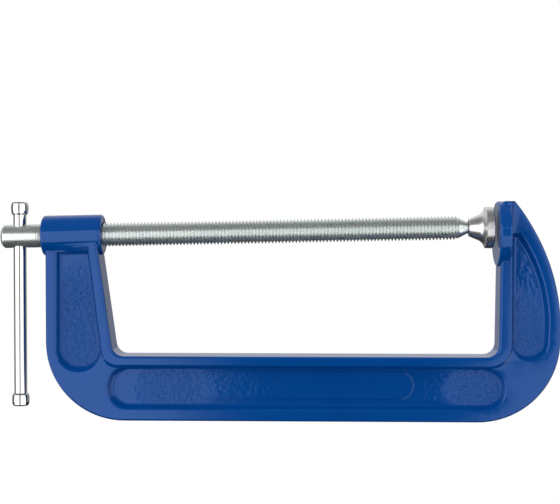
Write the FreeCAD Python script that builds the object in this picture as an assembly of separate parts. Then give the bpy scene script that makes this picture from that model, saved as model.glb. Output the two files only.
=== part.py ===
"""C clamp with a 250 mm jaw: frame, screw, sliding T-bar with two end caps, swivel pad, retaining ring.

Units are mm. X runs square to the anvil's face, towards it, Z is up, and the frame is symmetric about Y = 0.
The origin is the centre of the anvil's clamping face.
"""
import FreeCAD, Part

import math
import os

V = FreeCAD.Vector
X_AXIS = V(1, 0, 0)
Y_AXIS = V(0, 1, 0)
Z_AXIS = V(0, 0, 1)

# the screw and its boss lean up a little towards the anvil, about this point on the screw's axis
LEAN = 1.1
LEAN_CENTRE = V(-233.7, 0, 0)

# frame: a flat-backed C, drawn as corners (x, z, corner radius), with a thick rib round its throat
RIB_HALF = 12.0
OUTER_HALF = 9.6
FLOOR_HALF = 5.2
OUTSIDE = [
    (-303.6, 0.0, 0.0),
    (-303.6, -126.2, 53.0),
    (39.0, -126.2, 55.0),
    (44.8, -19.1, 135.0),
    (11.0, 22.0, 0.0),
]
THROAT = [
    (2.1, 22.0, 3.0),
    (0.7, -82.2, 8.0),
    (-257.5, -82.2, 8.0),
    (-269.0, 0.0, 0.0),
]
OUTSIDE_EDGE_R = 1.8
THROAT_EDGE_R = 1.8
RIB_EDGE_R = 1.0

# the ground outside the rib, and the three recesses in it, all drawn where they meet the outer faces
AROUND = [
    (-277.34, 15.0, 0.0),
    (-264.4316, -89.1, 11.0),
    (9.6, -89.1, 15.0),
    (9.6, 30.0, 0.0),
    (60.0, 30.0, 0.0),
    (60.0, -140.0, 0.0),
    (-320.0, -140.0, 0.0),
    (-320.0, 15.0, 0.0),
]
LEFT_RECESS = [(-263.8612, -93.7, 15.0), (-276.1, 5.0, 0.0), (-297.5, 5.0, 0.0), (-297.5, -93.7, 15.5)]
SPINE_RECESS = [(6.3, -89.1, 14.6), (-262.8, -89.1, 14.6), (-262.8, -119.0, 14.6), (6.3, -119.0, 14.6)]
RIGHT_RECESS = [
    (9.6, -85.6, 11.4),
    (9.6, 1.5, 2.9),
    (15.65, 1.5, 2.9),
    (36.9, -31.7, 106.0),
    (33.9, -85.6, 13.0),
]
WALL_SLOPE = 0.23
WALL_RUN = 4.3
WALL_STEPS = 8
RECESS_FOOT_R = 1.6
RIB_LEDGE = 0.25
RIB_FOOT_R = 2.0
SMALLEST_CORNER_R = 0.4

# a plain raised panel on the floor of the spine recess
PANEL = [(-202.4, -92.6, 9.3), (-202.4, -111.4, 9.3), (-55.7, -111.4, 9.3), (-55.7, -92.6, 9.3)]
PANEL_HEIGHT = 0.5
PANEL_EDGE_R = 0.35

# boss, round about the screw's axis, and anvil, round about the X axis
BOSS_R = 13.7
BOSS_X = (-306.4, -265.4)
BOSS_EDGE_R = 1.8
BOSS_BLEND_R = 1.5
BORE_R = 8.0
BORE_CHAMFER = 1.0
ANVIL_R = 22.0
ANVIL_THICK = 8.0
ANVIL_EDGE_R = 1.5

# screw, drawn along the X axis before it leans: the thread is a plain cylinder at its major radius
PAD_FACE_X = -2.05
THREAD_R = 7.94
HEAD_R = 7.87
HEAD_END_X = -334.9
HEAD_CHAMFER = 2.0
COLLAR_X = -307.1
COLLAR_LENGTH = 3.0
COLLAR_GROOVE = 0.5
THREAD_END_X = -26.4
NECK_R = 3.7
NECK_START_X = -19.2
BALL_R = 4.65
BALL_BACK = 11.2
GROOVE_R = 3.3
GROOVE_BACK = (13.65, 14.75)

# T-bar and its end caps, upright in the head's loose cross-hole
BAR_X = -322.9
BAR_R = 4.35
BAR_HOLE_R = 4.52
BAR_HOLE_CHAMFER = 0.6
BAR_TOP = 21.5
BAR_BOTTOM = -117.3
CAP_LENGTH = 8.6
SPIGOT_R = 3.2
SPIGOT_LENGTH = 6.0
CAP_PROFILE = [(0.0, 4.9), (0.9, 5.55), (2.6, 5.85), (5.8, 5.85), (7.6, 5.5), (8.6, 4.7)]

# swivel pad, as (distance back from its face, radius)
PAD_OUTSIDE = [(0.0, 13.3), (0.6, 13.9), (5.4, 13.9), (5.9, 13.1)]
PAD_FLARE = [(5.9, 13.1), (7.6, 10.2), (10.8, 8.2)]
PAD_BACK = [(10.8, 8.2), (16.0, 6.0), (16.5, 5.5)]
SOCKET_R = 4.7
SOCKET_END = 13.1
CAVITY_R = 5.5
CAVITY_END = 15.3
LIP_END = 16.5

# retaining ring, open on one side
RING_BACK = (13.75, 14.65)
RING_INNER_R = 3.4
RING_OUTER_R = 5.0
RING_GAP = 3.0


def corner(points, i):
    """A corner's place, the directions to its two neighbours, and its radius."""
    x, z, radius = points[i]
    before = points[i - 1]
    after = points[(i + 1) % len(points)]
    place = V(x, 0, z)
    back = (V(before[0], 0, before[1]) - place).normalize()
    ahead = (V(after[0], 0, after[1]) - place).normalize()
    return place, back, ahead, radius


def outline(points, y):
    """A closed wire at this y, with an arc at each corner that has a radius."""
    arcs = []
    for i in range(len(points)):
        place, back, ahead, radius = corner(points, i)
        half = back.getAngle(ahead) / 2
        reach = radius / math.tan(half)
        place.y = y
        middle = place + (back + ahead).normalize() * (radius / math.sin(half) - radius)
        arcs.append((place + back * reach, middle, place + ahead * reach))
    edges = []
    for (start, middle, end), (next_start, _, _) in zip(arcs, arcs[1:] + arcs[:1]):
        if (end - start).Length > 1e-6:
            edges.append(Part.Arc(start, middle, end).toShape())
        edges.append(Part.makeLine(end, next_start))
    return Part.Wire(edges)


def inset(points, first, others):
    """The outline with its first side moved inwards by one distance and its other sides by another."""
    following = points[1:] + points[:1]
    area = sum(x * w - z * v for (x, z, _), (v, w, _) in zip(points, following))
    distances = [first] + [others] * (len(points) - 1)
    moved = []
    for i in range(len(points)):
        place, back, ahead, radius = corner(points, i)
        side = math.copysign(1, area * (ahead.x * back.z - ahead.z * back.x))
        reach = side / math.sin(back.getAngle(ahead))
        place += back * (reach * distances[i]) + ahead * (reach * distances[i - 1])
        if radius:
            radius = max(SMALLEST_CORNER_R, radius - side * (distances[i] + distances[i - 1]) / 2)
        moved.append((place.x, place.z, radius))
    return moved


def middle_of(edge):
    """The middle point of an edge."""
    return edge.valueAt((edge.FirstParameter + edge.LastParameter) / 2)


def leaned(shape):
    """A copy of a shape that is drawn about the X axis, leaned as the screw is."""
    copy = shape.copy()
    copy.rotate(LEAN_CENTRE, Y_AXIS, -LEAN)
    return copy


def foot(height, radius):
    """How far a wall's rounded foot stands out at this height above the ground."""
    rise = max(0.0, radius - height)
    return radius - math.sqrt(radius ** 2 - rise ** 2)


def loft(levels):
    """A solid through level outlines, given as (points, y)."""
    return Part.makeLoft([outline(points, y) for points, y in levels], True, True)


def recess(points):
    """A recess's space on the +Y side: its first side is the rib's wall, and its others are soft slopes."""
    levels = []
    for step in range(WALL_STEPS + 1):
        share = step / WALL_STEPS
        y = FLOOR_HALF + (OUTER_HALF - FLOOR_HALF) * (1 - math.cos(math.pi * share)) / 2
        steep = RIB_LEDGE + WALL_SLOPE * (OUTER_HALF - y) + foot(y - FLOOR_HALF, RECESS_FOOT_R)
        levels.append((inset(points, steep, WALL_RUN * (1 - share)), y))
    top = RIB_HALF + 0.5
    levels.append((inset(points, RIB_LEDGE + WALL_SLOPE * (OUTER_HALF - top), 0.0), top))
    return loft(levels)


def space_around():
    """The space on the +Y side outside the rib, down to the outer faces. It rounds the rib's outer edge."""
    levels = []
    for height in (0.0, 0.1, 0.3, 0.6, 1.0):
        levels.append((rib_line(foot(height, RIB_FOOT_R) - WALL_SLOPE * height), OUTER_HALF + height))
    top = RIB_HALF - OUTER_HALF
    for depth in (RIB_EDGE_R, 0.7 * RIB_EDGE_R, 0.35 * RIB_EDGE_R, 0.1 * RIB_EDGE_R, 0.0):
        in_from_wall = foot(depth, RIB_EDGE_R)
        levels.append((rib_line(-WALL_SLOPE * (top - depth) - in_from_wall), RIB_HALF - depth))
    levels.append((levels[-1][0], RIB_HALF + 0.5))
    return loft(levels)


def rib_line(distance):
    """AROUND with the rib's three sides moved outwards from the rib."""
    moved = inset(AROUND, distance, distance)
    return moved[:4] + AROUND[4:]


def rounded(body, radius, wanted):
    """The body with its wanted edges rounded on both sides. wanted takes an edge's middle point."""
    edges = [e for e in body.Edges if wanted(middle_of(e))]
    return body.makeFillet(radius, edges)


def on_edge(point, level):
    """Whether a point is on the C's outline at this distance from its middle, away from the arm's end."""
    away = Part.Vertex(point.x, 0, point.z).distToShape(outline(OUTSIDE + THROAT, 0))[0]
    return abs(abs(point.y) - level) < 1e-6 and away < 1e-4 and abs(point.z) > 0.01


def on_outside(point):
    """Whether a point is on the C's outer edges."""
    inside = -269.2 < point.x < 2.5 and point.z > -82.3
    return on_edge(point, OUTER_HALF) and not inside and point.z < 21.9


def on_throat(point):
    """Whether a point is on the C's inner edges."""
    return on_edge(point, RIB_HALF) and point.z < 0 and -269.2 < point.x < 2.5 and point.z > -82.3


def c_section():
    """The C with its thick rib and its recesses, and its edges rounded."""
    section = Part.Face(outline(OUTSIDE + THROAT, -RIB_HALF)).extrude(Y_AXIS * 2 * RIB_HALF)
    for space in [space_around()] + [recess(p) for p in (LEFT_RECESS, SPINE_RECESS, RIGHT_RECESS)]:
        section = section.cut(space).cut(space.mirror(V(), Y_AXIS))
    section = rounded(section.Solids[0], OUTSIDE_EDGE_R, on_outside)
    return rounded(section, THROAT_EDGE_R, on_throat)


def panel():
    """The raised panel on the +Y floor, sunk a little into it."""
    top_y = FLOOR_HALF + PANEL_HEIGHT
    block = Part.Face(outline(PANEL, FLOOR_HALF - 1.0)).extrude(Y_AXIS * (PANEL_HEIGHT + 1.0))
    rim = [e for e in block.Edges if abs(middle_of(e).y - top_y) < 1e-6]
    return block.makeFillet(PANEL_EDGE_R, rim)


def disc(radius, start_x, length, edge_radius):
    """A round bar about the screw's axis, with both ends rounded."""
    bar = Part.makeCylinder(radius, length, V(start_x, 0, 0), X_AXIS)
    rims = [e for e in bar.Edges if isinstance(e.Curve, Part.Circle)]
    return bar.makeFillet(edge_radius, rims)


def boss_foot(body):
    """The edges where the recess floors and the outer faces meet the boss."""
    edges = []
    for edge in body.Edges:
        point = middle_of(edge)
        level = abs(point.y)
        upright = leaned_back(point)
        on_face = min(abs(level - FLOOR_HALF), abs(level - OUTER_HALF)) < 1e-3
        if on_face and abs(math.hypot(upright.y, upright.z) - BOSS_R) < 1e-3:
            edges.append(edge)
    return edges


def leaned_back(point):
    """Where a point would be if the screw didn't lean."""
    turn = FreeCAD.Rotation(Y_AXIS, LEAN)
    return LEAN_CENTRE + turn.multVec(point - LEAN_CENTRE)


def frame():
    """The cast frame: ribbed and recessed C, boss and anvil in one piece."""
    body = c_section()
    start, end = BOSS_X
    boss = leaned(disc(BOSS_R, start, end - start, BOSS_EDGE_R))
    anvil = disc(ANVIL_R, 0.0, ANVIL_THICK, ANVIL_EDGE_R)
    raised = panel()
    body = body.fuse([boss, anvil, raised, raised.mirror(V(), Y_AXIS)]).removeSplitter()
    body = body.makeFillet(BOSS_BLEND_R, boss_foot(body))
    bore = Part.makeCylinder(BORE_R, end - start, V(start, 0, 0), X_AXIS)
    wide = BORE_R + BORE_CHAMFER
    entry = Part.makeCone(wide, BORE_R, BORE_CHAMFER, V(start, 0, 0), X_AXIS)
    exit_cone = Part.makeCone(wide, BORE_R, BORE_CHAMFER, V(end, 0, 0), -X_AXIS)
    return body.cut([leaned(bore), leaned(entry), leaned(exit_cone)])


def revolved(edges, axis):
    """A solid from a closed half profile turned about an axis through the origin."""
    return Part.Face(Part.Wire(edges)).revolve(V(), axis, 360)


def chain(points):
    """Straight edges through the points in order."""
    return [Part.makeLine(a, b) for a, b in zip(points, points[1:])]


def back(distance, radius):
    """A profile point at a distance back from the pad's face."""
    return V(PAD_FACE_X - distance, 0, radius)


def spindle():
    """The screw: head with a cross-hole, collar, plain thread cylinder, cone, neck and ball."""
    collar_start = COLLAR_X - COLLAR_LENGTH
    groove_floor = HEAD_R - COLLAR_GROOVE
    ball_end = BALL_BACK - BALL_R
    shoulder = GROOVE_BACK[0]
    shoulder_r = math.sqrt(BALL_R ** 2 - (shoulder - BALL_BACK) ** 2)
    side = math.sqrt(0.5) * BALL_R
    along = chain([
        V(HEAD_END_X, 0, 0),
        V(HEAD_END_X, 0, HEAD_R - HEAD_CHAMFER),
        V(HEAD_END_X + HEAD_CHAMFER, 0, HEAD_R),
        V(collar_start - COLLAR_GROOVE, 0, HEAD_R),
        V(collar_start - COLLAR_GROOVE / 2, 0, groove_floor),
        V(collar_start, 0, HEAD_R),
        V(COLLAR_X - 0.4, 0, HEAD_R),
        V(COLLAR_X, 0, HEAD_R - 0.4),
        V(COLLAR_X + 0.01, 0, THREAD_R - 0.6),
        V(COLLAR_X + 0.61, 0, THREAD_R),
        V(THREAD_END_X - 0.7, 0, THREAD_R),
        V(THREAD_END_X, 0, THREAD_R - 0.7),
        V(NECK_START_X, 0, NECK_R),
        back(GROOVE_BACK[1], NECK_R),
        back(GROOVE_BACK[1], GROOVE_R),
        back(shoulder, GROOVE_R),
        back(shoulder, shoulder_r),
    ])
    ball = Part.Arc(back(shoulder, shoulder_r), back(BALL_BACK - side, side), back(ball_end, 0)).toShape()
    axis = Part.makeLine(back(ball_end, 0), V(HEAD_END_X, 0, 0))
    screw = revolved(along + [ball, axis], X_AXIS)
    hole = Part.makeCylinder(BAR_HOLE_R, 4 * HEAD_R, V(BAR_X, 0, -2 * HEAD_R), Z_AXIS)
    wide = BAR_HOLE_R + BAR_HOLE_CHAMFER
    mouth = Part.makeCone(BAR_HOLE_R, wide + 1.0, BAR_HOLE_CHAMFER + 1.0, V(BAR_X, 0, HEAD_R - 1.2), Z_AXIS)
    lower = mouth.mirror(V(), Z_AXIS)
    return leaned(screw.cut([hole, mouth, lower]))


def bar_x():
    """Where the middle of the leaned screw's cross-hole is. The bar itself stays upright."""
    return LEAN_CENTRE.x + (BAR_X - LEAN_CENTRE.x) * math.cos(math.radians(LEAN))


def handle_bar():
    """The sliding bar, with a reduced spigot at each end for its cap."""
    low = BAR_BOTTOM + CAP_LENGTH
    high = BAR_TOP - CAP_LENGTH
    bar = Part.makeCylinder(BAR_R, high - low, V(bar_x(), 0, low), Z_AXIS)
    length = high - low + 2 * SPIGOT_LENGTH
    spigots = Part.makeCylinder(SPIGOT_R, length, V(bar_x(), 0, low - SPIGOT_LENGTH), Z_AXIS)
    return bar.fuse(spigots)


def cap(end_z, inwards):
    """An end cap with a blind hole for the bar's spigot. inwards is the Z direction towards the bar."""
    points = [V(0, 0, 0)]
    points += [V(radius, 0, depth * inwards) for depth, radius in CAP_PROFILE]
    points += [V(0, 0, CAP_LENGTH * inwards), V(0, 0, 0)]
    knob = revolved(chain(points), Z_AXIS)
    floor = CAP_LENGTH - SPIGOT_LENGTH
    hole = Part.makeCylinder(SPIGOT_R, SPIGOT_LENGTH, V(0, 0, floor * inwards), Z_AXIS * inwards)
    knob = knob.cut(hole)
    knob.translate(V(bar_x(), 0, end_z))
    return knob


def swivel_pad():
    """The pad, upright on the screw's ball: rim, flared back, and a socket whose lip keeps the ring in."""
    side = math.sqrt(0.5) * SOCKET_R
    outside = chain([back(0, 0)] + [back(d, r) for d, r in PAD_OUTSIDE])
    flare = Part.Arc(*[back(d, r) for d, r in PAD_FLARE]).toShape()
    rear = chain([back(d, r) for d, r in PAD_BACK] + [
        back(LIP_END, SOCKET_R),
        back(CAVITY_END, SOCKET_R),
        back(CAVITY_END, CAVITY_R),
        back(SOCKET_END, CAVITY_R),
        back(SOCKET_END, SOCKET_R),
        back(BALL_BACK, SOCKET_R),
    ])
    top = back(BALL_BACK - SOCKET_R, 0)
    socket = Part.Arc(back(BALL_BACK, SOCKET_R), back(BALL_BACK - side, side), top).toShape()
    pad = revolved(outside + [flare] + rear + [socket, Part.makeLine(top, back(0, 0))], X_AXIS)
    ball = back(BALL_BACK, 0)
    lifted = leaned(Part.Vertex(ball)).Point
    pad.translate(lifted - ball)
    return pad


def pad_retaining_ring():
    """The open ring in the screw's neck groove."""
    near, far = RING_BACK
    start = V(PAD_FACE_X - far, 0, 0)
    ring = Part.makeCylinder(RING_OUTER_R, far - near, start, X_AXIS)
    ring = ring.cut(Part.makeCylinder(RING_INNER_R, far - near, start, X_AXIS))
    gap = Part.makeBox(far - near, RING_GAP, 2 * RING_OUTER_R, start + V(0, -RING_GAP / 2, 0))
    return leaned(ring.cut(gap))


os.makedirs("parts", exist_ok=True)
PIECES = {
    "frame": frame(),
    "spindle": spindle(),
    "handle_bar": handle_bar(),
    "handle_cap_upper": cap(BAR_TOP, -1),
    "handle_cap_lower": cap(BAR_BOTTOM, 1),
    "swivel_pad": swivel_pad(),
    "pad_retaining_ring": pad_retaining_ring(),
}
for name, shape in PIECES.items():
    shape.exportStep(f"parts/{name}.step")
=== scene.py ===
"""The looks of a 250 mm C clamp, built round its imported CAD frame.

X runs towards the anvil and square to its face, Z is up, and the camera looks along +Y. Sizes are in mm and
become metres where a mesh or camera is made. The cast frame gets its rough-cast recess floors here, and the
screw its helical thread; the other parts are the CAD shapes with better materials.
"""
import math
import random

import bmesh
import bpy
from mathutils import Matrix, Vector, noise
from mathutils.geometry import delaunay_2d_cdt


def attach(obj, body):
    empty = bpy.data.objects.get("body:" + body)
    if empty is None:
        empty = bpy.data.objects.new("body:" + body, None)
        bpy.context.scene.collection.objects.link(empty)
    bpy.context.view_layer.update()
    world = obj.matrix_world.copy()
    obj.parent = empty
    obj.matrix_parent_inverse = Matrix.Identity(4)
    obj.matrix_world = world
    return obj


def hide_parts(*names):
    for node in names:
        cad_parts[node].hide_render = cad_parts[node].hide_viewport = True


MM = 0.001
SMOOTH_ANGLE = math.radians(32)

# cast frame: how far the recess floors and the raised panels are from its middle, as in the CAD
FLOOR_Y = 5.2
PANEL_Y = 5.7
# in metres, how far a flat face's corners may be off its height, and how close two corners are one
FLAT_WITHIN = 1e-6
SAME_WITHIN = 2e-6
# in mm, how close two points of a floor's new mesh are one
MERGE_WITHIN = 1e-5
# the floors' new points: their spacing, and as shares of it, their rows' distance, shake and edge clearance
FLOOR_SPACING = 0.75
ROW_SHARE = 0.866
SHAKE = 0.16
EDGE_SHARE = 0.4
POINT_SEED = 11
# the floors' grain: its height off the patches, and how wide it fades out at a border
FINE_GRAIN = 0.035
BORDER = 2.5
# its lumps and the swells under them: their size and their share of the height
LUMP_SIZE = 1.7
LUMP_SHARE = 1.1
SWELL_SIZE = 4.5
SWELL_SHARE = 0.6
# how far each side's grain is shifted in the noise, so that the two differ
SIDE_SHIFT = 40.0
# rough-cast patches on the recess floors: centre x, centre z, reach in x, reach in z, height
ROUGH_PATCHES = [
    (-216.0, -104.0, 30.0, 20.0, 0.26),
    (-6.0, -104.0, 34.0, 20.0, 0.44),
    (-282.0, -52.0, 21.0, 36.0, 0.46),
    (-282.0, -82.0, 21.0, 24.0, 0.18),
    (17.0, -66.0, 19.0, 34.0, 0.46),
]
# the paint is fully rough within this share of a patch's squared reach
PATCH_CORE = 0.3
# it is rough up to the first of these heights over a panel, and smooth from the second
PATCH_TOP = (0.3, 1.2)
# how far the largest faces set the shading of shared corners: 50 is evenly and 100 is alone
LARGE_FACE_WEIGHT = 95

# fine lines on steel: their width, and their length where they run round a piece or along it
LINE_WIDTH = 0.25
LINE_ROUND = 20.0
LINE_ALONG = 50.0

# screw, as in the CAD, with a rolled 5/8 inch 11 TPI thread
PITCH = 25.4 / 11
THREAD_R = 7.94
THREAD_DEPTH = 1.42
THREAD_START = -307.09
THREAD_STOP = -24.9
THREAD_CHAMFER = 0.6
THREAD_END_GAP = 0.05
SCREW_SEGMENTS = 72
# one turn of the thread, as (share of the pitch, share of the depth) from the middle of a crest
THREAD_TURN = [
    (0.06, 0.0),
    (0.13, 0.12),
    (0.34, 0.88),
    (0.42, 1.0),
    (0.58, 1.0),
    (0.66, 0.88),
    (0.87, 0.12),
    (0.94, 0.0),
]
# the head and the nose, as (x, radius) from left to right
HEAD_R = 7.87
HEAD_ROWS = [
    (-334.9, 5.55),
    (-334.8, 5.87),
    (-333.3, 7.5),
    (-332.9, 7.76),
    (-332.3, HEAD_R),
    (-310.62, HEAD_R),
    (-310.5, 7.6),
    (-310.35, 7.37),
    (-310.2, 7.6),
    (-310.08, HEAD_R),
    (-307.5, HEAD_R),
    (-307.2, 7.75),
    (-307.1, 7.47),
]
NOSE_ROWS = [
    (-19.6, 3.9),
    (-19.0, 3.7),
    (-16.8, 3.7),
    (-16.78, 3.3),
    (-15.72, 3.3),
    (-15.7, 3.95),
]
BALL_X = -13.25
BALL_R = 4.65
BALL_STEPS = 9
# the cone that ends the thread, as (x, radius)
CONE_START = (-27.1, THREAD_R)
CONE_KNEE = (-26.4, 7.24)
CONE_END = (-19.2, 3.7)
# the numbers that match up the rows of neighbouring lines: thread rows count up from 0
HEAD_NUMBER = -100
THREAD_START_NUMBER = -1
NOSE_NUMBER = 10 ** 6
# the bar's hole with its countersinks, as (z, radius)
BAR_X = -322.9
BAR_HOLE_ROWS = [(-9.0, 6.85), (-6.67, 4.52), (6.67, 4.52), (9.0, 6.85)]
HOLE_SEGMENTS = 64
# the screw leans in its nut by this much
LEAN = math.radians(1.1)
LEAN_CENTRE_X = -233.7

# camera
CAMERA_AT = (-120.3, -800.0, 9.3)
CAMERA_TARGET = (-145.5, 0.0, -12.3)
CAMERA_LENS = 76.0

# the studio as reflections see it, in degrees. Azimuth 0 is the camera's side and 90 the anvil's.
# lowest and highest azimuth and its softness, lowest and highest elevation and its softness, radiance
REFLECTED = {
    "left wall": (-85, -6, 3, -35, 24, 3, 1.75),
    "right table": (8, 88, 1.5, -45, -6.5, 0.6, 1.60),
    "right wall": (10.4, 88, 0.6, -6.5, 24, 0.6, 1.60),
    "upper room": (-400, 400, 1, 19, 200, 6, 0.16),
}
# behind the clamp: how far back and up a direction points where the light starts and is full, radiance
REFLECTED_BEHIND = {
    "far room": (-0.1, 0.7, -0.35, -0.15, 0.34),
    "far upper room": (0.2, 0.7, 0.03, 0.12, 0.30),
}
REFLECTED_EVERYWHERE = 0.02
# soft light on matt surfaces, as its evenness and its pull to the right, the far side and the top
SOFT_LIGHT = 0.66
SOFT_LIGHT_PULL = (-0.32, -0.52, 0.40)


def join_up(name, mesh, body, slot, material, *nodes):
    """A finished piece: its object, looks, body, and the CAD nodes that it stands for."""
    mesh.materials.clear()
    mesh.materials.append(material)
    mesh.shade_smooth()
    mesh.set_sharp_from_angle(angle=SMOOTH_ANGLE)
    piece = bpy.data.objects.new(name, mesh)
    bpy.context.scene.collection.objects.link(piece)
    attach(piece, body)
    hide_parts(*nodes)
    return piece


def dress(node, material):
    """A CAD node with a better material."""
    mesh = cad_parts[node].data
    mesh.materials.clear()
    mesh.materials.append(material)


# ---------------------------------------------------------------- materials


class Nodes:
    """A short way to build a node tree."""

    def __init__(self, tree):
        self.tree = tree
        tree.nodes.clear()

    def add(self, kind, inputs=None, **settings):
        """A new node, with its settings and its inputs, which are values or other nodes' outputs."""
        node = self.tree.nodes.new(kind)
        for key, value in settings.items():
            setattr(node, key, value)
        for key, value in (inputs or {}).items():
            if isinstance(value, bpy.types.NodeSocket):
                self.tree.links.new(value, node.inputs[key])
            else:
                node.inputs[key].default_value = value
        return node

    def math(self, operation, *values):
        """The result of a Math node."""
        return self.add("ShaderNodeMath", dict(enumerate(values)), operation=operation).outputs[0]

    def blend(self, share, first, second):
        """A number between two others."""
        inputs = {"Value": share, "From Min": 0.0, "From Max": 1.0, "To Min": first, "To Max": second}
        return self.add("ShaderNodeMapRange", inputs).outputs["Result"]

    def fit(self, value, low, high, to_low=0.0, to_high=1.0):
        """A value moved smoothly from one range to another, and held at its ends."""
        inputs = {"Value": value, "From Min": low, "From Max": high, "To Min": to_low, "To Max": to_high}
        node = self.add("ShaderNodeMapRange", inputs, interpolation_type="SMOOTHSTEP")
        return node.outputs["Result"]

    def noise(self, place, size, detail=2.0):
        """Noise whose blobs are about this many mm across."""
        inputs = {"Vector": place, "Scale": 1.0 / size, "Detail": detail, "Roughness": 0.5}
        return self.add("ShaderNodeTexNoise", inputs).outputs["Fac"]

    def mix(self, share, first, second):
        """A colour between two others."""
        node = self.add("ShaderNodeMix", data_type="RGBA")
        for key, value in (("Factor", share), (6, first), (7, second)):
            socket = node.inputs[key]
            if isinstance(value, bpy.types.NodeSocket):
                self.tree.links.new(value, socket)
            else:
                socket.default_value = value
        return node.outputs[2]


def material_nodes(name):
    """A new material's node helper, with the place on the piece in mm."""
    material = bpy.data.materials.new(name)
    material.use_nodes = True
    nodes = Nodes(material.node_tree)
    place = nodes.add("ShaderNodeTexCoord").outputs["Object"]
    scaled = nodes.add("ShaderNodeVectorMath", {0: place}, operation="SCALE")
    scaled.inputs["Scale"].default_value = 1.0 / MM
    return material, nodes, scaled.outputs[0]


def finish_material(nodes, inputs):
    """The surface shader, from these inputs."""
    shader = nodes.add("ShaderNodeBsdfPrincipled", inputs)
    nodes.add("ShaderNodeOutputMaterial", {"Surface": shader.outputs[0]})


def relief(nodes, heights):
    """A bump normal from (height, how many mm high) pairs."""
    normal = None
    for height, depth in heights:
        inputs = {"Height": height, "Distance": depth * MM, "Strength": 1.0}
        if normal is not None:
            inputs["Normal"] = normal
        normal = nodes.add("ShaderNodeBump", inputs).outputs["Normal"]
    return normal


def rough_patches(nodes, place):
    """How rough-cast the paint is at a place: 1 on the recess floors' rough patches and 0 elsewhere."""
    split = nodes.add("ShaderNodeSeparateXYZ", {0: place})
    most = 0.0
    for centre_x, centre_z, reach_x, reach_z, _ in ROUGH_PATCHES:
        across = nodes.math("DIVIDE", nodes.math("SUBTRACT", split.outputs["X"], centre_x), reach_x)
        up = nodes.math("DIVIDE", nodes.math("SUBTRACT", split.outputs["Z"], centre_z), reach_z)
        away = nodes.math("ADD", nodes.math("MULTIPLY", across, across), nodes.math("MULTIPLY", up, up))
        most = nodes.math("MAXIMUM", nodes.fit(away, PATCH_CORE, 1.0, 1.0, 0.0), most)
    outwards = nodes.math("ABSOLUTE", split.outputs["Y"])
    rough_to, smooth_from = PATCH_TOP
    low = nodes.fit(outwards, PANEL_Y + rough_to, PANEL_Y + smooth_from, 1.0, 0.0)
    return nodes.math("MULTIPLY", most, low)


def painted_casting():
    """Glossy royal blue paint over cast iron."""
    material, nodes, place = material_nodes("painted_casting")
    clouds = nodes.noise(place, 45.0)
    deep = (0.0, 0.048, 0.232, 1.0)
    full = (0.0, 0.060, 0.272, 1.0)
    waves = nodes.noise(place, 8.0)
    peel = nodes.noise(place, 2.2)
    dents = nodes.math("SUBTRACT", nodes.noise(place, 1.1), 0.5)
    hammered = nodes.math("MULTIPLY", dents, rough_patches(nodes, place))
    normal = relief(nodes, [(waves, 0.025), (peel, 0.012), (hammered, 0.8)])
    finish_material(nodes, {
        "Base Color": nodes.mix(clouds, deep, full),
        "Roughness": 0.09,
        "IOR": 1.62,
        "Specular Tint": (0.32, 0.50, 1.0, 1.0),
        "Coat Weight": 0.12,
        "Coat Roughness": 0.03,
        "Normal": normal,
    })
    return material


def steel(name, colour, other, metal, roughness, grain, turned):
    """Bare or plated steel, a little uneven, with fine lines round its X axis or along its Z axis."""
    material, nodes, place = material_nodes(name)
    clouds = nodes.noise(place, 12.0)
    across = 1.0 / LINE_WIDTH
    round_it = (across, 1.0 / LINE_ROUND, 1.0 / LINE_ROUND)
    along_it = (across, across, 1.0 / LINE_ALONG)
    stretch = round_it if turned else along_it
    lines_at = nodes.add("ShaderNodeVectorMath", {0: place, 1: stretch}, operation="MULTIPLY").outputs[0]
    lines = nodes.noise(lines_at, 1.0, 1.0)
    specks = nodes.noise(place, 0.9)
    finish_material(nodes, {
        "Base Color": nodes.mix(clouds, colour, other),
        "Metallic": metal,
        "Roughness": nodes.fit(specks, 0.3, 0.7, roughness * 0.85, roughness * 1.2),
        "Normal": relief(nodes, [(lines, grain), (specks, grain * 0.5)]),
    })
    return material


PAINT = painted_casting()
ZINC = steel("zinc_plated_steel", (0.68, 0.74, 0.74, 1.0), (0.76, 0.79, 0.77, 1.0), 0.9, 0.28, 0.003, True)
BRIGHT = steel("bright_steel", (0.62, 0.62, 0.61, 1.0), (0.68, 0.68, 0.67, 1.0), 1.0, 0.10, 0.001, False)
SATIN = steel("satin_steel", (0.74, 0.74, 0.74, 1.0), (0.80, 0.80, 0.79, 1.0), 0.95, 0.26, 0.002, True)
SPRING = steel("spring_steel", (0.20, 0.20, 0.21, 1.0), (0.28, 0.28, 0.29, 1.0), 1.0, 0.35, 0.001, True)


# ---------------------------------------------------------------- cast frame


def roughness_at(x, z):
    """How high the rough-cast grain stands at a place on a recess floor, in mm."""
    height = FINE_GRAIN
    for patch_x, patch_z, reach_x, reach_z, most in ROUGH_PATCHES:
        away = math.hypot((x - patch_x) / reach_x, (z - patch_z) / reach_z)
        height = max(height, most * max(0.0, 1.0 - away * away))
    return height


def grain_at(x, z, side):
    """The floor's height there: small lumps on broader ones."""
    place = Vector((x, z, SIDE_SHIFT * side))
    lumps = noise.noise(place / LUMP_SIZE)
    swell = noise.noise(place / SWELL_SIZE)
    return roughness_at(x, z) * (LUMP_SHARE * lumps + SWELL_SHARE * swell)


def is_inside(x, z, edges):
    """Whether a point is inside the loops, by how often a line from it crosses them."""
    crossings = 0
    for (ax, az), (bx, bz) in edges:
        if (az > z) != (bz > z) and x < ax + (z - az) * (bx - ax) / (bz - az):
            crossings += 1
    return crossings % 2 == 1


def edges_near(x, z, edges, reach):
    """The edges whose own box, grown by this much, holds the point."""
    return [
        (a, b) for a, b in edges
        if min(a[0], b[0]) - reach < x < max(a[0], b[0]) + reach
        and min(a[1], b[1]) - reach < z < max(a[1], b[1]) + reach
    ]


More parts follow.
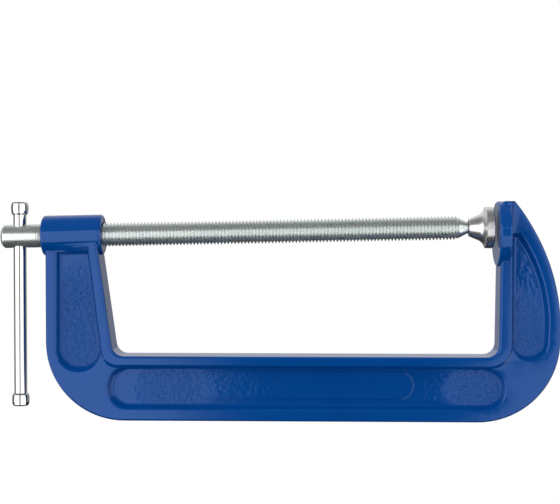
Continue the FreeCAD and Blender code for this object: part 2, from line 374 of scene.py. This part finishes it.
def distance_to(x, z, edges):
    """How far a point is from the nearest edge."""
    nearest = 1e9
    for (ax, az), (bx, bz) in edges:
        along_x, along_z = bx - ax, bz - az
        share = ((x - ax) * along_x + (z - az) * along_z) / (along_x ** 2 + along_z ** 2)
        share = min(1.0, max(0.0, share))
        nearest = min(nearest, math.hypot(x - ax - share * along_x, z - az - share * along_z))
    return nearest


def cast_frame():
    """The CAD frame with its recess floors rough-cast."""
    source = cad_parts["frame"].data
    bm = bmesh.new()
    bm.from_mesh(source)
    bmesh.ops.remove_doubles(bm, verts=bm.verts, dist=SAME_WITHIN)
    draw = random.Random(POINT_SEED)
    for side in (-1, 1):
        for level in (FLOOR_Y, PANEL_Y):
            regrain(bm, side, level, draw)
    mesh = bpy.data.meshes.new("cast_frame")
    bm.normal_update()
    bm.to_mesh(mesh)
    bm.free()
    piece = join_up("cast_frame", mesh, "frame", "painted_casting", PAINT, "frame")
    flat = piece.modifiers.new("flat_faces_shade_flat", "WEIGHTED_NORMAL")
    flat.weight = LARGE_FACE_WEIGHT
    flat.keep_sharp = True


def regrain(bm, side, level, draw):
    """Replaces the flat areas at this height with a fine mesh that has the rough-cast grain."""
    flats = {f for f in bm.faces if all(abs(v.co.y - side * level * MM) < FLAT_WITHIN for v in f.verts)}
    border = [e for e in bm.edges if sum(f in flats for f in e.link_faces) == 1]
    corners = list(dict.fromkeys(v for e in border for v in e.verts))
    number = {v: i for i, v in enumerate(corners)}
    flat = [Vector((v.co.x / MM, v.co.z / MM)) for v in corners]
    pairs = [(number[e.verts[0]], number[e.verts[1]]) for e in border]
    bmesh.ops.delete(bm, geom=list(flats), context="FACES")
    edges = [(tuple(flat[a]), tuple(flat[b])) for a, b in pairs]
    added = interior_points(edges, draw)
    points = flat + [Vector(p) for p in added]
    verts, _, faces, origins, _, _ = delaunay_2d_cdt(points, pairs, [], 0, MERGE_WITHIN)
    made = []
    for place, source in zip(verts, origins):
        x, z = place
        if source and source[0] < len(corners):
            made.append(corners[source[0]])
        else:
            height = side * (level + grain_at(x, z, side) * fade(x, z, edges))
            made.append(bm.verts.new((x * MM, height * MM, z * MM)))
    for face in faces:
        middle = sum((verts[i] for i in face), Vector((0, 0))) / 3
        if is_inside(middle.x, middle.y, edges):
            ring = [made[i] for i in face]
            bm.faces.new(ring if side < 0 else ring[::-1])


def fade(x, z, edges):
    """How much of the grain is left at a place, since it dies away towards the border."""
    near = edges_near(x, z, edges, BORDER)
    return min(1.0, distance_to(x, z, near) / BORDER) if near else 1.0


def interior_points(edges, draw):
    """Points on a shaken grid inside the loops and clear of their edges."""
    xs = [p[0] for e in edges for p in e]
    zs = [p[1] for e in edges for p in e]
    points = []
    z = min(zs)
    row = 0
    while z < max(zs):
        cuts = sorted(
            a[0] + (z - a[1]) * (b[0] - a[0]) / (b[1] - a[1])
            for a, b in edges if (a[1] > z) != (b[1] > z)
        )
        for start, end in zip(cuts[::2], cuts[1::2]):
            x = start + 0.5 * FLOOR_SPACING * (1 + row % 2)
            while x < end - 0.5 * FLOOR_SPACING:
                shaken_x = x + draw.uniform(-SHAKE, SHAKE) * FLOOR_SPACING
                shaken_z = z + draw.uniform(-SHAKE, SHAKE) * FLOOR_SPACING
                near = edges_near(shaken_x, shaken_z, edges, FLOOR_SPACING)
                if not near or distance_to(shaken_x, shaken_z, near) > EDGE_SHARE * FLOOR_SPACING:
                    points.append((shaken_x, shaken_z))
                x += FLOOR_SPACING
        z += FLOOR_SPACING * ROW_SHARE
        row += 1
    return points


# ---------------------------------------------------------------- screw


def envelope(x):
    """The screw's radius before its thread is cut, along the threaded length and the cone."""
    if x < THREAD_START + THREAD_CHAMFER:
        return THREAD_R - THREAD_CHAMFER + (x - THREAD_START)
    for (start, start_r), (end, end_r) in ((CONE_START, CONE_KNEE), (CONE_KNEE, CONE_END)):
        if start < x <= end:
            return start_r + (end_r - start_r) * (x - start) / (end - start)
    return THREAD_R


def thread_depth(phase):
    """How deep the thread is at this share of a turn."""
    first_at, first_depth = THREAD_TURN[0]
    last_at, last_depth = THREAD_TURN[-1]
    turn = [(last_at - 1.0, last_depth)] + THREAD_TURN + [(first_at + 1.0, first_depth)]
    for (start, low), (end, high) in zip(turn, turn[1:]):
        if start <= phase <= end:
            return THREAD_DEPTH * (low + (high - low) * (phase - start) / (end - start))
    return 0.0


def threaded(x, share):
    """The screw's radius on the line that is this share of a turn round it."""
    phase = ((x - THREAD_START) / PITCH - share) % 1.0
    return min(envelope(x), THREAD_R - thread_depth(phase))


def ball_rows():
    """The ball from where it leaves the nose to just before its tip, as (x, radius)."""
    first = math.atan2(NOSE_ROWS[-1][1], NOSE_ROWS[-1][0] - BALL_X)
    angles = [first * (1 - row / BALL_STEPS) for row in range(1, BALL_STEPS)]
    return [(BALL_X + BALL_R * math.cos(angle), BALL_R * math.sin(angle)) for angle in angles]


def screw_column(segment):
    """One lengthwise line of the screw's surface, as (row number, x, radius)."""
    share = segment / SCREW_SEGMENTS
    steps = len(THREAD_TURN)
    line = [(HEAD_NUMBER + row, x, radius) for row, (x, radius) in enumerate(HEAD_ROWS)]
    line.append((THREAD_START_NUMBER, THREAD_START, threaded(THREAD_START, share)))
    # one turn more than fits at each end, since the lines start up to a turn apart
    turns = int((THREAD_STOP - THREAD_START) / PITCH) + 3
    for number in range(turns * steps):
        phase = THREAD_TURN[number % steps][0]
        x = THREAD_START + PITCH * (number // steps - 1 + phase + share)
        if THREAD_START + THREAD_END_GAP < x < THREAD_STOP - THREAD_END_GAP:
            line.append((number, x, threaded(x, share)))
    nose = [(THREAD_STOP, envelope(THREAD_STOP))] + NOSE_ROWS + ball_rows()
    line += [(NOSE_NUMBER + row, x, radius) for row, (x, radius) in enumerate(nose)]
    return line


def screw_mesh():
    """The screw's surface: a fan at each end and a strip between each two lines."""
    bm = bmesh.new()
    columns = []
    for segment in range(SCREW_SEGMENTS):
        angle = 2 * math.pi * segment / SCREW_SEGMENTS
        column = []
        for number, x, radius in screw_column(segment):
            vert = bm.verts.new((x * MM, radius * math.cos(angle) * MM, radius * math.sin(angle) * MM))
            column.append((number, vert))
        columns.append(column)
    head = bm.verts.new((HEAD_ROWS[0][0] * MM, 0, 0))
    tip = bm.verts.new(((BALL_X + BALL_R) * MM, 0, 0))
    for segment, column in enumerate(columns):
        following = columns[(segment + 1) % SCREW_SEGMENTS]
        if segment == SCREW_SEGMENTS - 1:
            steps = len(THREAD_TURN)
            following = [(n - steps if 0 <= n < NOSE_NUMBER else n, v) for n, v in following]
        zip_up(bm, column, following)
        bm.faces.new((head, following[0][1], column[0][1]))
        bm.faces.new((tip, column[-1][1], following[-1][1]))
    bmesh.ops.recalc_face_normals(bm, faces=bm.faces)
    mesh = bpy.data.meshes.new("threaded_screw")
    bm.to_mesh(mesh)
    bm.free()
    return mesh


def zip_up(bm, left, right):
    """Faces between two lines whose points are numbered alike, with a triangle where one line has more."""
    i = j = 0
    while i < len(left) - 1 or j < len(right) - 1:
        next_left = left[i + 1][0] if i < len(left) - 1 else math.inf
        next_right = right[j + 1][0] if j < len(right) - 1 else math.inf
        if next_left == next_right:
            bm.faces.new((left[i][1], left[i + 1][1], right[j + 1][1], right[j][1]))
            i += 1
            j += 1
        elif next_left < next_right:
            bm.faces.new((left[i][1], left[i + 1][1], right[j][1]))
            i += 1
        else:
            bm.faces.new((left[i][1], right[j + 1][1], right[j][1]))
            j += 1


def cross_hole():
    """The cutter for the bar's hole through the head."""
    bm = bmesh.new()
    rings = []
    for z, radius in BAR_HOLE_ROWS:
        ring = []
        for step in range(HOLE_SEGMENTS):
            angle = 2 * math.pi * step / HOLE_SEGMENTS
            x = BAR_X + radius * math.cos(angle)
            ring.append(bm.verts.new((x * MM, radius * math.sin(angle) * MM, z * MM)))
        rings.append(ring)
    for low, high in zip(rings, rings[1:]):
        for step in range(HOLE_SEGMENTS):
            after = (step + 1) % HOLE_SEGMENTS
            bm.faces.new((low[step], low[after], high[after], high[step]))
    bm.faces.new(rings[0][::-1])
    bm.faces.new(rings[-1])
    bmesh.ops.recalc_face_normals(bm, faces=bm.faces)
    mesh = bpy.data.meshes.new("cross_hole")
    bm.to_mesh(mesh)
    bm.free()
    return mesh


def without(mesh, cutter_mesh):
    """The mesh with the cutter's shape taken out of it."""
    body = bpy.data.objects.new("to_cut", mesh)
    cutter = bpy.data.objects.new("cutter", cutter_mesh)
    for shape in (body, cutter):
        bpy.context.scene.collection.objects.link(shape)
    cut = body.modifiers.new("cut", "BOOLEAN")
    cut.operation = "DIFFERENCE"
    cut.solver = "EXACT"
    cut.object = cutter
    bpy.context.view_layer.update()
    graph = bpy.context.evaluated_depsgraph_get()
    result = bpy.data.meshes.new_from_object(body.evaluated_get(graph), depsgraph=graph)
    bpy.data.objects.remove(body)
    bpy.data.objects.remove(cutter)
    return result


def screw():
    """The screw with its helical thread and the hole for the bar."""
    mesh = without(screw_mesh(), cross_hole())
    mesh.name = "threaded_screw"
    centre = Vector((LEAN_CENTRE_X * MM, 0, 0))
    mesh.transform(Matrix.Translation(centre) @ Matrix.Rotation(-LEAN, 4, "Y") @ Matrix.Translation(-centre))
    join_up("threaded_screw", mesh, "screw", "zinc_plated_steel", ZINC, "spindle")


# ---------------------------------------------------------------- studio


def window(nodes, value, low, high, soft):
    """1 between two angles in degrees and 0 outside them, with soft edges."""
    low, high, soft = math.radians(low), math.radians(high), math.radians(soft)
    rise = nodes.fit(value, low - soft, low + soft)
    fall = nodes.fit(value, high - soft, high + soft, 1.0, 0.0)
    return nodes.math("MULTIPLY", rise, fall)


def studio_light():
    """White to the camera, light from above and the front on matt surfaces, and a studio in reflections."""
    world = bpy.data.worlds.new("studio")
    bpy.context.scene.world = world
    world.use_nodes = True
    world.cycles.sampling_method = "NONE"
    nodes = Nodes(world.node_tree)
    direction = nodes.add("ShaderNodeTexCoord").outputs["Generated"]
    split = nodes.add("ShaderNodeSeparateXYZ", {0: direction})
    x, y, z = split.outputs
    azimuth = nodes.math("ARCTAN2", x, nodes.math("MULTIPLY", y, -1.0))
    elevation = nodes.math("ARCSINE", z)
    reflected = REFLECTED_EVERYWHERE
    for back_from, back_to, up_from, up_to, radiance in REFLECTED_BEHIND.values():
        up = nodes.fit(z, up_from, up_to, 0.0, radiance)
        patch = nodes.math("MULTIPLY", nodes.fit(y, back_from, back_to), up)
        reflected = nodes.math("ADD", reflected, patch)
    for left, right, side_soft, low, high, soft, radiance in REFLECTED.values():
        across = window(nodes, azimuth, left, right, side_soft)
        up = window(nodes, elevation, low, high, soft)
        patch = nodes.math("MULTIPLY", nodes.math("MULTIPLY", across, up), radiance)
        reflected = nodes.math("ADD", reflected, patch)
    pull = nodes.add("ShaderNodeVectorMath", {0: direction, 1: SOFT_LIGHT_PULL}, operation="DOT_PRODUCT")
    matt = nodes.math("ADD", pull.outputs["Value"], SOFT_LIGHT)
    rays = nodes.add("ShaderNodeLightPath")
    strength = nodes.blend(rays.outputs["Is Diffuse Ray"], reflected, matt)
    strength = nodes.blend(rays.outputs["Is Camera Ray"], strength, 1.0)
    background = nodes.add("ShaderNodeBackground", {"Color": (1, 1, 1, 1), "Strength": strength})
    nodes.add("ShaderNodeOutputWorld", {"Surface": background.outputs[0]})


def camera():
    """The camera in front of the clamp, a little above and to the right of its middle."""
    lens = bpy.data.cameras.new("camera")
    lens.lens = CAMERA_LENS
    lens.sensor_width = 36.0
    lens.clip_start = 0.05
    lens.clip_end = 30.0
    eye = bpy.data.objects.new("camera", lens)
    eye.location = Vector(CAMERA_AT) * MM
    look = Vector(CAMERA_TARGET) * MM - eye.location
    eye.rotation_mode = "QUATERNION"
    eye.rotation_quaternion = look.to_track_quat("-Z", "Y")
    bpy.context.scene.collection.objects.link(eye)
    bpy.context.scene.camera = eye


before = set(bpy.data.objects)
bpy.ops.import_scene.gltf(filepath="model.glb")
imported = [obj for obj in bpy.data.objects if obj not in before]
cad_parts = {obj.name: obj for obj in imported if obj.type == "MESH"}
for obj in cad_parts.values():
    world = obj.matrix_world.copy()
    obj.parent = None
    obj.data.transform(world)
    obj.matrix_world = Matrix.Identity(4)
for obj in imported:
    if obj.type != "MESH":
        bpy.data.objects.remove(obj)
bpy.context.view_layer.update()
bpy.context.scene.view_settings.view_transform = "Standard"

camera()
studio_light()
cast_frame()
screw()
dress("handle_bar", BRIGHT)
dress("handle_cap_upper", BRIGHT)
dress("handle_cap_lower", BRIGHT)
dress("swivel_pad", SATIN)
dress("pad_retaining_ring", SPRING)
